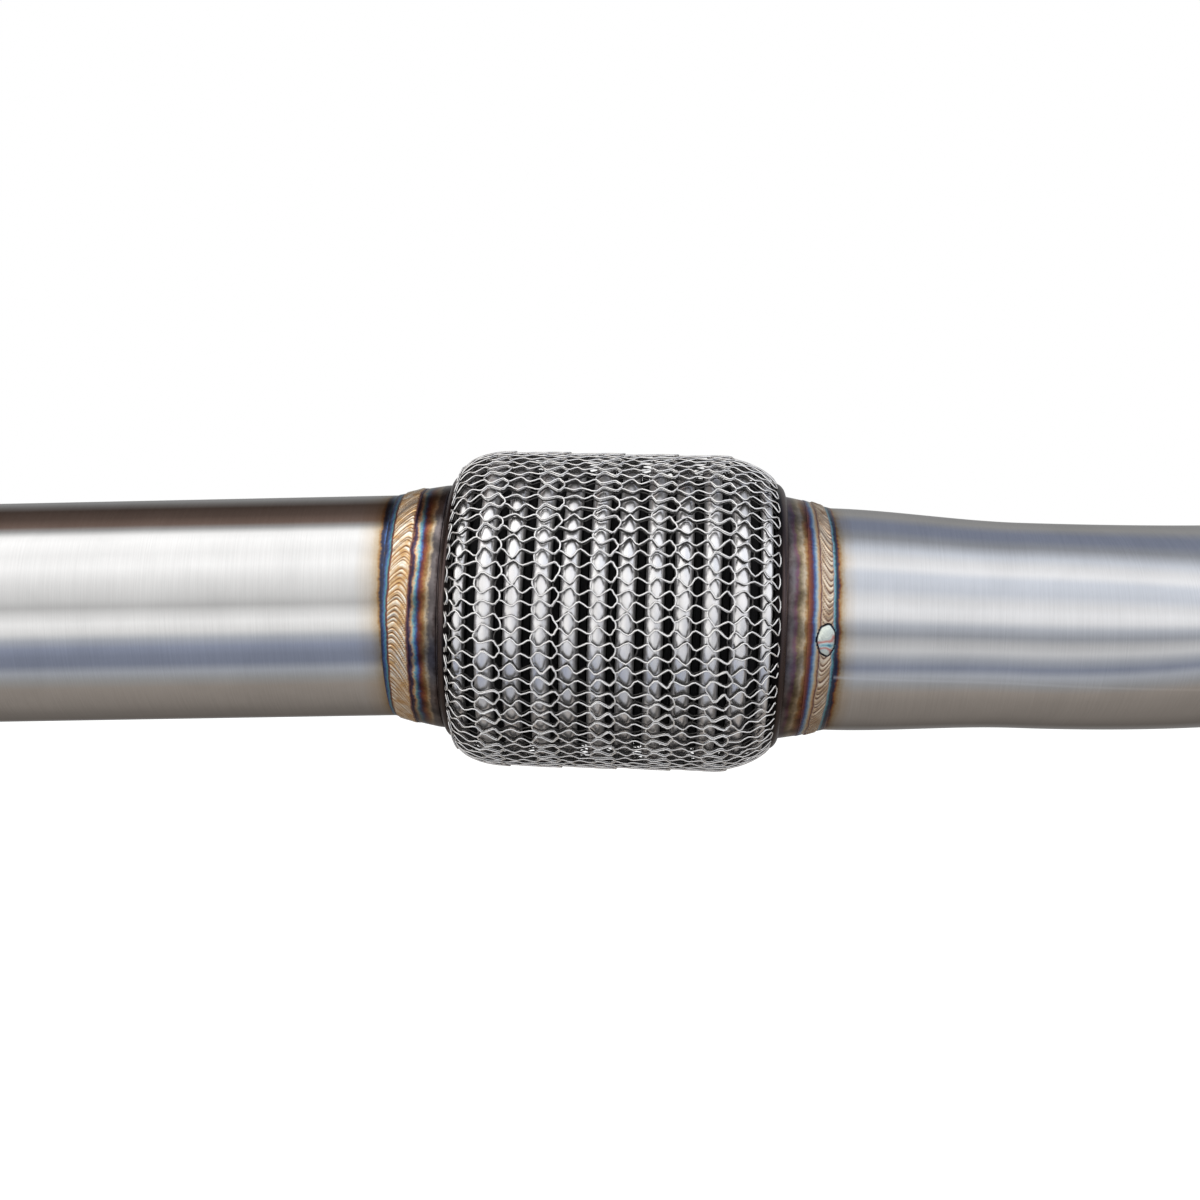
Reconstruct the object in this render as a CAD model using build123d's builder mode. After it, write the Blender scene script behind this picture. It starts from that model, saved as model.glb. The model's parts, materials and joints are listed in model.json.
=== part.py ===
from build123d import *
from math import cos, pi, radians, sin
import os

# A stainless downpipe: two tubes joined by a flexible section. The flexible section is a
# bellows with an interlocked liner inside and a knitted wire cover outside.
# The origin is the centre of the inlet tube's end face. +X runs down the inlet tube, +Z is up.
# Stations along the flexible section are measured outwards from its middle.

# Tubes
tube_radius = 31.75
tube_wall = 1.5
inlet_length = 170.0
outlet_radius = 29.3
taper_start = 62.0
taper_end = 116.0
bend_radius = 150.0
bend_angle = 30.0
bend_lift_angle = 8.0
tail_length = 40.0
kink_angle = 3.0

# Collars at both ends of the flexible section
mouth_station = 57.5
collar_shoulder_station = 47.1
collar_inner_station = 42.7
tube_insertion = 4.5
slip_gap = 0.35
collar_mouth_wall = 0.3
collar_neck_wall = 1.6
collar_shoulder_wall = 2.8
collar_tail_wall = 2.5

# Fillet welds
weld_inner_station = 54.0
weld_outer_station = 61.5
weld_inner_toe = 0.2
weld_outer_toe = 0.4
weld_hollow = 0.1
weld_root_depth = 1.0
stop_width = 4.7
stop_length = 8.4
stop_height = 1.1
stop_angle = 10.0

# End caps
cap_lip_station = 43.2
cap_lip_rise = 3.4
cap_wall = 0.9

# Bellows
convolutions = 12
pitch = 7.3
fold_depth = 8.1
end_fold_depth = 4.6
crest_width = 3.6
bellows_wall = 0.4
cuff_length = 3.8

# Liner and its inner sleeves
liner_ridges = 11
liner_pitch = 7.0
liner_rise = 1.5
liner_step = 0.9
liner_wall = 0.8
liner_cuff_station = 46.0
sleeve_wall = 0.8
sleeve_inner_station = 41.5
sleeve_outer_station = 50.5

# Knitted cover
cover_wall = 1.2
cover_half_length = 44.3
cover_flat_length = 34.7
cover_bend_length = 39.5
cover_bend_drop = 2.0
cover_edge_length = 42.6
cover_edge_drop = 4.0
gap_rows = 5
gaps_per_row = 24
gap_row_pitch = 14.4
gap_length = 10.4
gap_width = 6.8
gap_point = 2.6

# Clearances
seat_gap = 0.3
cap_seat_gap = 0.1
cover_gap = 0.7

os.makedirs("parts", exist_ok=True)

# The sketch planes hold the axis as their x direction and the radius as their y direction.
flex_direction = Vector(cos(radians(kink_angle)), 0, -sin(radians(kink_angle)))
mouth_point = Vector(inlet_length, 0, 0)
flex_centre = mouth_point + flex_direction * mouth_station
flex_plane = Plane(origin=flex_centre, x_dir=flex_direction, z_dir=(0, -1, 0))
flex_axis = Axis(flex_centre, flex_direction)
sides = {"inlet": -1, "outlet": 1}

# Radii from the tube outwards
collar_bore_radius = tube_radius + slip_gap
collar_bevel_radius = collar_bore_radius + collar_mouth_wall
collar_neck_radius = collar_bore_radius + collar_neck_wall
collar_shoulder_radius = collar_bore_radius + collar_shoulder_wall
collar_tail_radius = collar_bore_radius + collar_tail_wall
cap_seat_radius = collar_shoulder_radius + cap_seat_gap
cap_lip_radius = cap_seat_radius + cap_lip_rise
bellows_root_radius = collar_tail_radius + seat_gap + bellows_wall
crest_radius = bellows_root_radius + fold_depth
end_crest_radius = bellows_root_radius + end_fold_depth
liner_cuff_radius = collar_bore_radius - seat_gap
liner_radius = liner_cuff_radius + liner_rise
cover_radius = crest_radius + cover_gap + cover_wall
cover_end_radius = cap_lip_radius + cover_wall / 2

bellows_end_station = (convolutions - 1) / 2 * pitch + crest_width / 2
tube_end_station = mouth_station - tube_insertion


def keep(piece, name):
    piece.part.label = name
    export_step(piece.part, f"parts/{name}.step")


def ring(points):
    """A closed outline of station and radius pairs, turned about the flexible section's axis."""
    with BuildPart() as turned:
        with BuildSketch(flex_plane):
            with BuildLine():
                Polyline(*points, close=True)
            make_face()
        revolve(axis=flex_axis)
    return turned


def on_side(side, points):
    return [(side * station, radius) for station, radius in points]


def make_inlet_pipe():
    with BuildPart() as inlet_pipe:
        with BuildSketch(Plane.YZ):
            Circle(tube_radius)
            Circle(tube_radius - tube_wall, mode=Mode.SUBTRACT)
        extrude(amount=inlet_length + tube_insertion)
    return inlet_pipe


def make_outlet_pipe():
    # The straight end of the outlet tube, which narrows smoothly towards the bend
    with BuildPart() as outlet_pipe:
        with BuildSketch(flex_plane):
            with BuildLine():
                outer_run = Line((tube_end_station, tube_radius), (taper_start, tube_radius))
                outer_taper = Spline(
                    outer_run @ 1, (taper_end, outlet_radius), tangents=[(1, 0), (1, 0)]
                )
                rim = Line(outer_taper @ 1, (taper_end, outlet_radius - tube_wall))
                inner_taper = Spline(
                    rim @ 1,
                    (taper_start, tube_radius - tube_wall),
                    tangents=[(-1, 0), (-1, 0)],
                )
                inner_run = Line(inner_taper @ 1, (tube_end_station, tube_radius - tube_wall))
                Line(inner_run @ 1, outer_run @ 0)
            make_face()
        revolve(axis=flex_axis)
    return outlet_pipe


def make_outlet_bend():
    # The same tube's bent end with its straight tail, kept apart so that its bore stays open
    # to collision. The two halves meet face to face where the taper ends.
    bend_start = flex_centre + flex_direction * taper_end
    lift = radians(bend_lift_angle)
    inward = Vector(0, 1, 0) * cos(lift) + flex_plane.y_dir * sin(lift)
    bend_axis = Axis(bend_start + inward * bend_radius, flex_direction.cross(inward))
    bend_plane = Plane(origin=bend_start, x_dir=inward, z_dir=flex_direction)
    with BuildPart() as outlet_bend:
        with BuildSketch(bend_plane):
            Circle(outlet_radius)
            Circle(outlet_radius - tube_wall, mode=Mode.SUBTRACT)
        revolve(axis=bend_axis, revolution_arc=bend_angle)
        end_face = outlet_bend.faces().filter_by(GeomType.PLANE).sort_by(SortBy.DISTANCE)[-1]
        extrude(end_face, amount=tail_length)
    return outlet_bend


def make_collar(side):
    """A necked ring: a bevelled mouth, a slightly conical neck and a thinner tail for the cuff."""
    points = [
        (mouth_station, collar_bore_radius),
        (mouth_station, collar_bevel_radius),
        (weld_inner_station, collar_neck_radius),
        (collar_shoulder_station, collar_shoulder_radius),
        (collar_shoulder_station - cap_wall, collar_shoulder_radius),
        (collar_shoulder_station - cap_wall, collar_tail_radius),
        (collar_inner_station, collar_tail_radius),
        (collar_inner_station, collar_bore_radius),
    ]
    return ring(on_side(side, points))


def make_weld(side):
    """A fillet bead that lies on the collar's bevelled mouth and on the tube, which cuts it."""
    middle_station = (weld_inner_station + weld_outer_station) / 2
    inner_toe = (side * weld_inner_station, collar_neck_radius + weld_inner_toe)
    outer_toe = (side * weld_outer_station, tube_radius + weld_outer_toe)
    middle_radius = (inner_toe[1] + outer_toe[1]) / 2 - weld_hollow
    middle = (side * middle_station, middle_radius)
    root_radius = tube_radius - weld_root_depth
    tube_plane = Plane.YZ
    if side > 0:
        tube_plane = Plane(origin=flex_centre, z_dir=flex_direction)
    with BuildPart() as weld:
        with BuildSketch(flex_plane):
            with BuildLine():
                ThreePointArc(inner_toe, middle, outer_toe)
                Polyline(
                    outer_toe,
                    (side * weld_outer_station, root_radius),
                    (side * mouth_station, root_radius),
                    (side * mouth_station, collar_bevel_radius),
                    (side * weld_inner_station, collar_neck_radius),
                    inner_toe,
                )
            make_face()
        revolve(axis=flex_axis)
        if side > 0:
            # The raised oval spot where the last weld run stopped, lengthwise round the bead
            turn = radians(stop_angle)
            outward = Vector(0, -1, 0) * cos(turn) - flex_plane.y_dir * sin(turn)
            around = outward.cross(flex_direction)
            spot_radius = middle_radius + stop_height - stop_width / 2
            spot = flex_centre + flex_direction * middle_station + outward * spot_radius
            with BuildSketch(Plane(origin=spot, x_dir=around, z_dir=around.cross(outward))):
                Ellipse(stop_length / 2, stop_width / 2)
                Rectangle(
                    stop_length,
                    stop_width,
                    align=(Align.CENTER, Align.MAX),
                    mode=Mode.SUBTRACT,
                )
            revolve(axis=Axis(spot, around))
            add(make_collar(side).part, mode=Mode.SUBTRACT)
        with BuildSketch(tube_plane):
            Circle(tube_radius)
        extrude(amount=inlet_length + tube_insertion, mode=Mode.SUBTRACT)
    return weld


def make_end_cap(side):
    """A rounded ring that covers the bellows cuff and carries the edge of the knitted cover."""
    outer_lip = (side * cap_lip_station, cap_lip_radius)
    inner_lip = (side * cap_lip_station, cap_lip_radius - cap_wall)
    outer_edge = (side * collar_shoulder_station, cap_seat_radius)
    inner_edge = (side * (collar_shoulder_station - cap_wall), cap_seat_radius)
    with BuildPart() as end_cap:
        with BuildSketch(flex_plane):
            with BuildLine():
                TangentArc(outer_lip, outer_edge, tangent=(side, 0))
                Polyline(outer_edge, inner_edge, inner_lip, outer_lip)
            make_face()
        revolve(axis=flex_axis)
    return end_cap


def make_inner_sleeve(side):
    outer_radius = liner_cuff_radius - liner_wall - seat_gap
    points = [
        (sleeve_inner_station, outer_radius - sleeve_wall),
        (sleeve_outer_station, outer_radius - sleeve_wall),
        (sleeve_outer_station, outer_radius),
        (sleeve_inner_station, outer_radius),
    ]
    return ring(on_side(side, points))


def bellows_line(inset):
    """Station and radius along one face of the bellows wall, set in from the outside by inset."""
    half = (crest_width - inset) / 2
    floor = bellows_root_radius - inset
    side_station = bellows_end_station - inset
    cuff_end = bellows_end_station + cuff_length
    points = [(-cuff_end, floor), (-side_station, floor)]
    for count in range(convolutions):
        middle = (count - (convolutions - 1) / 2) * pitch
        is_first, is_last = count == 0, count == convolutions - 1
        top = (end_crest_radius if is_first or is_last else crest_radius) - inset
        low = -side_station if is_first else middle - half
        high = side_station if is_last else middle + half
        points += [(low, top), (high, top)]
        if not is_last:
            points.append((middle + pitch / 2, floor))
    points += [(side_station, floor), (cuff_end, floor)]
    return points


def make_bellows():
    return ring(bellows_line(0) + bellows_line(bellows_wall)[::-1])


def make_liner():
    """The interlocked strip: overlapping steps outside, a plain bore, and a cuff at each end."""
    half_run = liner_ridges / 2 * liner_pitch
    bore_radius = liner_cuff_radius - liner_wall
    points = [(-liner_cuff_station, liner_cuff_radius), (-half_run, liner_cuff_radius)]
    for count in range(liner_ridges):
        start = count * liner_pitch - half_run
        points.append((start, liner_radius))
        points.append((start + liner_pitch, liner_radius - liner_step))
    points += [(half_run, liner_cuff_radius), (liner_cuff_station, liner_cuff_radius)]
    points += [(liner_cuff_station, bore_radius), (-liner_cuff_station, bore_radius)]
    return ring(points)


def cover_line(inset):
    """Half of the cover's outline, from its middle to its edge, set in by inset."""
    return [
        (cover_flat_length, cover_radius - inset),
        (cover_bend_length - inset / 2, cover_radius - cover_bend_drop - inset),
        (cover_edge_length - inset / 2, cover_radius - cover_edge_drop - inset),
        (cover_half_length - inset / 2, cover_end_radius - inset / 2),
    ]


def make_knit_cover():
    """One barrel-shaped wall with rows of staggered gaps, drawn out along the axis."""
    outer, inner = cover_line(0), cover_line(cover_wall)
    outline = on_side(-1, outer[::-1]) + outer + inner[::-1] + on_side(-1, inner)
    cut_depth = 2 * cover_wall
    gap_planes = []
    for row in range(gap_rows):
        station = (row - (gap_rows - 1) / 2) * gap_row_pitch
        for count in range(gaps_per_row):
            turn = 2 * pi * (count + row % 2 / 2) / gaps_per_row
            outward = Vector(0, -1, 0) * cos(turn) + flex_plane.y_dir * sin(turn)
            spot = flex_centre + flex_direction * station + outward * (cover_radius - cut_depth)
            gap_planes.append(Plane(origin=spot, x_dir=flex_direction, z_dir=outward))
    tip, shoulder = gap_length / 2, gap_length / 2 - gap_point
    half_width = gap_width / 2
    with BuildPart() as knit_cover:
        with BuildSketch(flex_plane):
            with BuildLine():
                Polyline(*outline, close=True)
            make_face()
        revolve(axis=flex_axis)
        with BuildSketch(*gap_planes):
            with BuildLine():
                Polyline(
                    (tip, 0),
                    (shoulder, half_width),
                    (-shoulder, half_width),
                    (-tip, 0),
                    (-shoulder, -half_width),
                    (shoulder, -half_width),
                    close=True,
                )
            make_face()
        extrude(amount=2 * cut_depth, mode=Mode.SUBTRACT)
    return knit_cover


keep(make_inlet_pipe(), "inlet_pipe")
keep(make_outlet_pipe(), "outlet_pipe")
keep(make_outlet_bend(), "outlet_bend")
keep(make_bellows(), "bellows")
keep(make_liner(), "interlock_liner")
keep(make_knit_cover(), "knit_cover")

for side_name, side in sides.items():
    keep(make_collar(side), f"{side_name}_collar")
    keep(make_weld(side), f"{side_name}_weld")
    keep(make_end_cap(side), f"{side_name}_end_cap")
    keep(make_inner_sleeve(side), f"{side_name}_inner_sleeve")
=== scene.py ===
import json
import bpy
import numpy as np
from mathutils import Matrix


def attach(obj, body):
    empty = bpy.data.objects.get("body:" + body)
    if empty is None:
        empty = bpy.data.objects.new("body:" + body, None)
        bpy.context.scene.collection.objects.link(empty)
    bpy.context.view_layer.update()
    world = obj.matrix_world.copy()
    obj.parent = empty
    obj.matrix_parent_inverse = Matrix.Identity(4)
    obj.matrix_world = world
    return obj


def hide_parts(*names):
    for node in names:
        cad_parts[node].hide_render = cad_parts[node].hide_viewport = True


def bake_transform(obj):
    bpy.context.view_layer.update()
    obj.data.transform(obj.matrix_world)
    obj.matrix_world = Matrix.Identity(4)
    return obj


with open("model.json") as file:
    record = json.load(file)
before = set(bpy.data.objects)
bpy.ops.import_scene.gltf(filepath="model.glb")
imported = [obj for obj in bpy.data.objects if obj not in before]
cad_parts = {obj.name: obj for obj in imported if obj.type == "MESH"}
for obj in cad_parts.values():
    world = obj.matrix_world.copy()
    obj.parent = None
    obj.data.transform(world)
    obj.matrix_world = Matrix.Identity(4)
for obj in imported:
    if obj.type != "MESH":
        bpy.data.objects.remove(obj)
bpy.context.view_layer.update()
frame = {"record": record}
print("frame loaded")

mm = 0.001
inletBody, outletBody = "inlet_side", "outlet_side"

# The flexible section's middle is the bending joint's place in the record
flexCentre = np.array(frame["record"]["behaviour"]["joints"][0]["pos_m"])
kinkAngle = np.radians(3.0)     # the inlet tube meets the flexible section a little askew
alongX = np.array([1.0, 0.0, 0.0])
toViewer = np.array([0.0, -1.0, 0.0])
upZ = np.array([0.0, 0.0, 1.0])
flexAlong = np.array([np.cos(kinkAngle), 0.0, -np.sin(kinkAngle)])
flexUp = np.array([np.sin(kinkAngle), 0.0, np.cos(kinkAngle)])

# Stations along the flexible section, outwards from its middle, and radii, in millimetres
flex = dict(
    weldInner=54.0, weldOuter=61.5, mouth=57.5, tubeEnd=53.0, tubeRadius=31.75, tubeWall=1.5,
    collarShoulder=47.1, collarInner=42.7, collarBore=32.1, collarBevel=32.4, collarNeck=33.7,
    collarShoulderRadius=34.9, collarTail=34.6, capLip=43.2, coverShift=1.3, coverLift=0.25)


# meshes

def quadIndex(rows, columns):
    # corner numbers of every quad on a grid whose last row and column join the first
    r, c = np.divmod(np.arange(rows * columns), columns)
    r2, c2 = (r + 1) % rows, (c + 1) % columns
    return np.stack([r * columns + c, r2 * columns + c, r2 * columns + c2, r * columns + c2], -1)


def signedVolume(points, quads):
    # sum over both triangles of each quad of a . (b x c) / 6, positive when faces look outwards
    a, b, c, d = (points[quads[:, k]] for k in range(4))
    return (np.einsum("ij,ij->i", a, np.cross(b, c)) + np.einsum("ij,ij->i", a, np.cross(c, d))).sum() / 6


def addObject(name, data):
    made = bpy.data.objects.new(name, data)
    bpy.context.scene.collection.objects.link(made)
    return made


def meshObject(name, points, quads, material, uv=None, **attributes):
    # points (n, 3) in metres and quads (m, 4) become one smooth object; uv is (m, 4, 2)
    points = points.reshape(-1, 3)
    if signedVolume(points, quads) < 0:
        quads = quads[:, ::-1]
        uv = None if uv is None else uv[:, ::-1]
    mesh = bpy.data.meshes.new(name)
    mesh.from_pydata(points, [], quads.tolist())
    mesh.polygons.foreach_set("use_smooth", np.ones(len(quads), bool))
    if uv is not None:
        mesh.uv_layers.new(name="surface").data.foreach_set("uv", uv.reshape(-1).astype(np.float32))
    for key, values in attributes.items():
        layer = mesh.attributes.new(key, "FLOAT", "POINT")
        layer.data.foreach_set("value", np.asarray(values, np.float32).reshape(-1))
    mesh.update()
    mesh.materials.append(material)
    return addObject(name, mesh)


def straightRun(origin, along, up):
    # a straight axis: station (in metres) goes to its centre and two directions across
    def at(station):
        centre = origin + station[:, None] * along
        return centre, np.broadcast_to(toViewer, centre.shape), np.broadcast_to(up, centre.shape)
    return at


def turnedPiece(name, outline, run, material, segments, sharp=28, height=None, **attributes):
    # A closed outline of (station, radius) pairs in millimetres carried round an axis:
    # point = centre(station) + radius * (cos(angle) * toViewer + sin(angle) * up).
    # height(station, angle) may add to the radius, and each attribute is such a function too. The
    # seam is at the back, angle pi.
    outline = np.asarray(outline, float)
    angle = np.linspace(-np.pi, np.pi, segments, endpoint=False)
    centre, front, up = run(outline[:, 0] * mm)
    station, turn = np.broadcast_arrays(outline[:, :1], angle[None, :])
    radius = outline[:, 1:] + (height(station, turn) if height else np.zeros_like(turn))
    across = np.cos(turn)[..., None] * front[:, None] + np.sin(turn)[..., None] * up[:, None]
    points = centre[:, None] + radius[..., None] * mm * across
    rows = len(outline)
    lengths = np.hypot(*np.diff(np.vstack([outline, outline[:1]]), axis=0).T)
    runLength = np.concatenate([[0], np.cumsum(lengths)])
    r, c = np.divmod(np.arange(rows * segments), segments)
    u = np.stack([runLength[r], runLength[r + 1], runLength[r + 1], runLength[r]], -1)
    v = np.stack([c, c, c + 1, c + 1], -1) / segments * 2 * np.pi - np.pi
    meanRadius = outline[:, 1].mean()
    uv = np.stack([u, v * meanRadius], -1) * mm
    values = {key: value(station, turn) for key, value in attributes.items()}
    made = meshObject(name, points, quadIndex(rows, segments), material, uv, **values)
    made.data.set_sharp_from_angle(angle=np.radians(sharp))
    return made


def roundedLine(corners, size, steps=3):
    # a closed outline whose corners are cut by short arcs, each a quadratic curve through its corner
    corners = np.asarray(corners, float)

    def towards(neighbour):
        way = np.roll(corners, neighbour, axis=0) - corners
        length = np.linalg.norm(way, axis=1, keepdims=True)
        return (corners + way / length * np.minimum(size, length * 0.4))[:, None]

    t = np.linspace(0, 1, steps + 1)[None, :, None]
    curve = (1 - t) ** 2 * towards(1) + 2 * t * (1 - t) * corners[:, None] + t ** 2 * towards(-1)
    return curve.reshape(-1, 2)


def spread(outline, spacing):
    # adds even points to the long straight stretches of a closed outline
    outline = np.asarray(outline, float)
    following = np.roll(outline, -1, axis=0)
    counts = np.maximum(1, np.ceil(np.linalg.norm(following - outline, axis=1) / spacing).astype(int))
    parts = [a + (b - a) * np.linspace(0, 1, n, endpoint=False)[:, None]
             for a, b, n in zip(outline, following, counts)]
    return np.vstack(parts)


# shader helpers

def addNode(tree, kind, inputs=None, **settings):
    made = tree.nodes.new(kind)
    for key, value in settings.items():
        setattr(made, key, value)
    for key, value in (inputs or {}).items():
        if isinstance(value, bpy.types.NodeSocket):
            tree.links.new(value, made.inputs[key])
        else:
            made.inputs[key].default_value = value
    return made


def maths(tree, operation, a, b=0.0):
    return addNode(tree, "ShaderNodeMath", {0: a, 1: b}, operation=operation).outputs[0]


def mixColour(tree, factor, a, b, blend="MIX"):
    made = addNode(tree, "ShaderNodeMix", {0: factor, 6: a, 7: b}, data_type="RGBA", blend_type=blend)
    return made.outputs[2]


def shaded(tree, colour, shade):
    # the colour times the shade
    return mixColour(tree, 1.0, colour, shade, "MULTIPLY")


def noise(tree, place, scale, detail=2.0, **more):
    inputs = {"Vector": place, "Scale": scale, "Detail": detail, **more}
    return addNode(tree, "ShaderNodeTexNoise", inputs).outputs["Fac"]


def mapRange(tree, value, low, high, first=0.0, last=1.0):
    return addNode(tree, "ShaderNodeMapRange", {0: value, 1: low, 2: high, 3: first, 4: last}).outputs[0]


def ramp(tree, factor, stops):
    # each stop is a place and a colour, or a place and a single number for a grey
    made = addNode(tree, "ShaderNodeValToRGB", {0: factor})
    elements = made.color_ramp.elements
    while len(elements) < len(stops):
        elements.new(0.5)
    for element, (place, colour) in zip(elements, stops):
        element.position = place
        element.color = (*colour, 1.0) if isinstance(colour, tuple) else (colour, colour, colour, 1.0)
    return made.outputs[0]


def rampBetween(tree, value, low, high, stops):
    place = maths(tree, "DIVIDE", maths(tree, "SUBTRACT", value, low), high - low)
    return ramp(tree, place, [((d - low) / (high - low), colour) for d, colour in stops])


def groupTree(name, ins, outs):
    # ins and outs are the sockets' kinds by name
    tree = bpy.data.node_groups.new(name, "ShaderNodeTree")
    for way, sockets in (("INPUT", ins), ("OUTPUT", outs)):
        for socket, kind in sockets.items():
            tree.interface.new_socket(socket, in_out=way, socket_type="NodeSocket" + kind)
    return tree, tree.nodes.new("NodeGroupInput").outputs, tree.nodes.new("NodeGroupOutput").inputs


def useGroup(tree, group, inputs):
    return addNode(tree, "ShaderNodeGroup", inputs, node_tree=group).outputs


def newMaterial(name, metallic=1.0):
    material = bpy.data.materials.new(name)
    material.use_nodes = True
    tree = material.node_tree
    surface = tree.nodes["Principled BSDF"]
    surface.inputs["Metallic"].default_value = metallic
    return material, tree, surface


def finishSurface(tree, surface, colour, roughness, normal=None):
    for key, value in (("Base Color", colour), ("Roughness", roughness), ("Normal", normal)):
        if value is not None:
            tree.links.new(value, surface.inputs[key])


def variedRoughness(tree, pattern, roughness, variation):
    # roughness + (pattern - 0.5) * variation
    return maths(tree, "ADD", maths(tree, "MULTIPLY", pattern, variation), roughness - variation / 2)


def useBrushMarks(tree, along, around, roughness, variation):
    return useGroup(tree, brushMarks, {"Surface": surfaceUv(tree), "Along": along, "Around": around,
                                       "Roughness": roughness, "Variation": variation})


# Fine marks left by a brush that ran round the tube: noise squeezed along the tube and drawn out
# around it, with broad smudges laid over it.
def brushMarksGroup():
    tree, ins, outs = groupTree(
        "brushMarks",
        dict(Surface="Vector", Along="Float", Around="Float", Roughness="Float", Variation="Float"),
        dict(Roughness="Float", Height="Float", Shade="Float"))
    scale = addNode(tree, "ShaderNodeCombineXYZ", {0: ins["Along"], 1: ins["Around"]}).outputs[0]
    stretched = addNode(tree, "ShaderNodeVectorMath", {0: ins["Surface"], 1: scale}, operation="MULTIPLY")
    lines = noise(tree, stretched.outputs[0], 1.0, 4.0, Roughness=0.65)
    smudge = noise(tree, ins["Surface"], 55.0, 3.0, Distortion=0.6)
    change = maths(tree, "ADD", maths(tree, "SUBTRACT", lines, 0.5), maths(tree, "SUBTRACT", smudge, 0.5))
    varied = maths(tree, "MULTIPLY", change, ins["Variation"])
    tree.links.new(maths(tree, "ADD", varied, ins["Roughness"]), outs["Roughness"])
    tree.links.new(lines, outs["Height"])
    shade = maths(tree, "MULTIPLY", change, 0.22)
    tree.links.new(maths(tree, "ADD", shade, 1.0), outs["Shade"])
    return tree


# Colours that heat leaves in the steel
temper = dict(
    steel=(0.66, 0.655, 0.65), warmSteel=(0.61, 0.56, 0.50), straw=(0.50, 0.40, 0.28),
    amber=(0.36, 0.21, 0.09), gold=(0.50, 0.31, 0.16), cream=(0.56, 0.45, 0.32), olive=(0.22, 0.17, 0.10),
    redBrown=(0.24, 0.085, 0.045), plum=(0.17, 0.09, 0.12), purple=(0.13, 0.045, 0.06),
    paleBlue=(0.33, 0.44, 0.52), cyan=(0.20, 0.40, 0.44), teal=(0.11, 0.30, 0.34), blue=(0.07, 0.13, 0.30),
    navy=(0.045, 0.05, 0.085), grey=(0.16, 0.14, 0.14), darkGrey=(0.075, 0.057, 0.055))

# Where each colour lies: station outwards from the flexible section's middle, in millimetres, at
# the side towards the viewer
inletHeat = [
    (44.5, "darkGrey"), (46.2, "darkGrey"), (47.0, "grey"), (47.9, "grey"), (48.7, "straw"),
    (49.4, "amber"), (50.2, "redBrown"), (50.9, "purple"), (51.5, "blue"), (52.1, "cyan"),
    (52.6, "cream"), (52.9, "gold"), (53.2, "plum"), (53.6, "navy"), (54.1, "purple"), (54.5, "gold"),
    (59.4, "gold"), (59.7, "redBrown"), (60.0, "purple"), (60.3, "teal"), (60.8, "blue"), (61.3, "navy"),
    (61.8, "navy"), (62.3, "amber"), (62.9, "straw"), (65.0, "warmSteel"), (69.0, "steel")]
outletHeat = [
    (45.2, "darkGrey"), (48.2, "darkGrey"), (49.4, "grey"), (50.5, "plum"), (51.3, "olive"),
    (52.6, "straw"), (53.3, "amber"), (54.1, "redBrown"), (54.9, "purple"), (55.5, "blue"),
    (56.1, "paleBlue"), (56.5, "cream"), (56.9, "gold"), (57.3, "purple"), (57.6, "cream"),
    (58.1, "redBrown"), (60.6, "redBrown"), (60.9, "paleBlue"), (61.2, "teal"), (61.6, "navy"),
    (62.2, "navy"), (62.6, "redBrown"), (62.9, "amber"), (63.6, "straw"), (64.9, "warmSteel"),
    (67.7, "steel")]
heatReach = (44.0, 70.0)


# The colour at a station, moved in and out by noise on three scales, as a hand-run weld leaves it
def heatGroup(name, stops):
    tree, ins, outs = groupTree(name, dict(Place="Vector", Station="Float", Wander="Float"),
                                dict(Color="Color", Shifted="Float"))
    shift = 0.0
    for scale, reach, detail in ((40.0, 1.3, 1.0), (240.0, 1.3, 2.0), (1300.0, 0.8, 2.0)):
        centred = maths(tree, "SUBTRACT", noise(tree, ins["Place"], scale, detail), 0.5)
        shift = maths(tree, "ADD", maths(tree, "MULTIPLY", centred, reach), shift)
    shifted = maths(tree, "ADD", ins["Station"], maths(tree, "MULTIPLY", shift, ins["Wander"]))
    low, high = heatReach
    tree.links.new(rampBetween(tree, shifted, low, high, [(d, temper[c]) for d, c in stops]), outs["Color"])
    tree.links.new(shifted, outs["Shifted"])
    return tree


brushMarks = brushMarksGroup()
heatColours = dict(inlet=heatGroup("inletHeat", inletHeat), outlet=heatGroup("outletHeat", outletHeat))


def surfaceUv(tree):
    return addNode(tree, "ShaderNodeUVMap", uv_map="surface").outputs[0]


def objectPlace(tree):
    return addNode(tree, "ShaderNodeTexCoord").outputs["Object"]


def readAttribute(tree, name):
    return addNode(tree, "ShaderNodeAttribute", attribute_name=name).outputs["Fac"]


def bumpNormal(tree, height, strength, distance):
    return addNode(tree, "ShaderNodeBump",
                   {"Height": height, "Strength": strength, "Distance": distance}).outputs[0]


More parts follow.
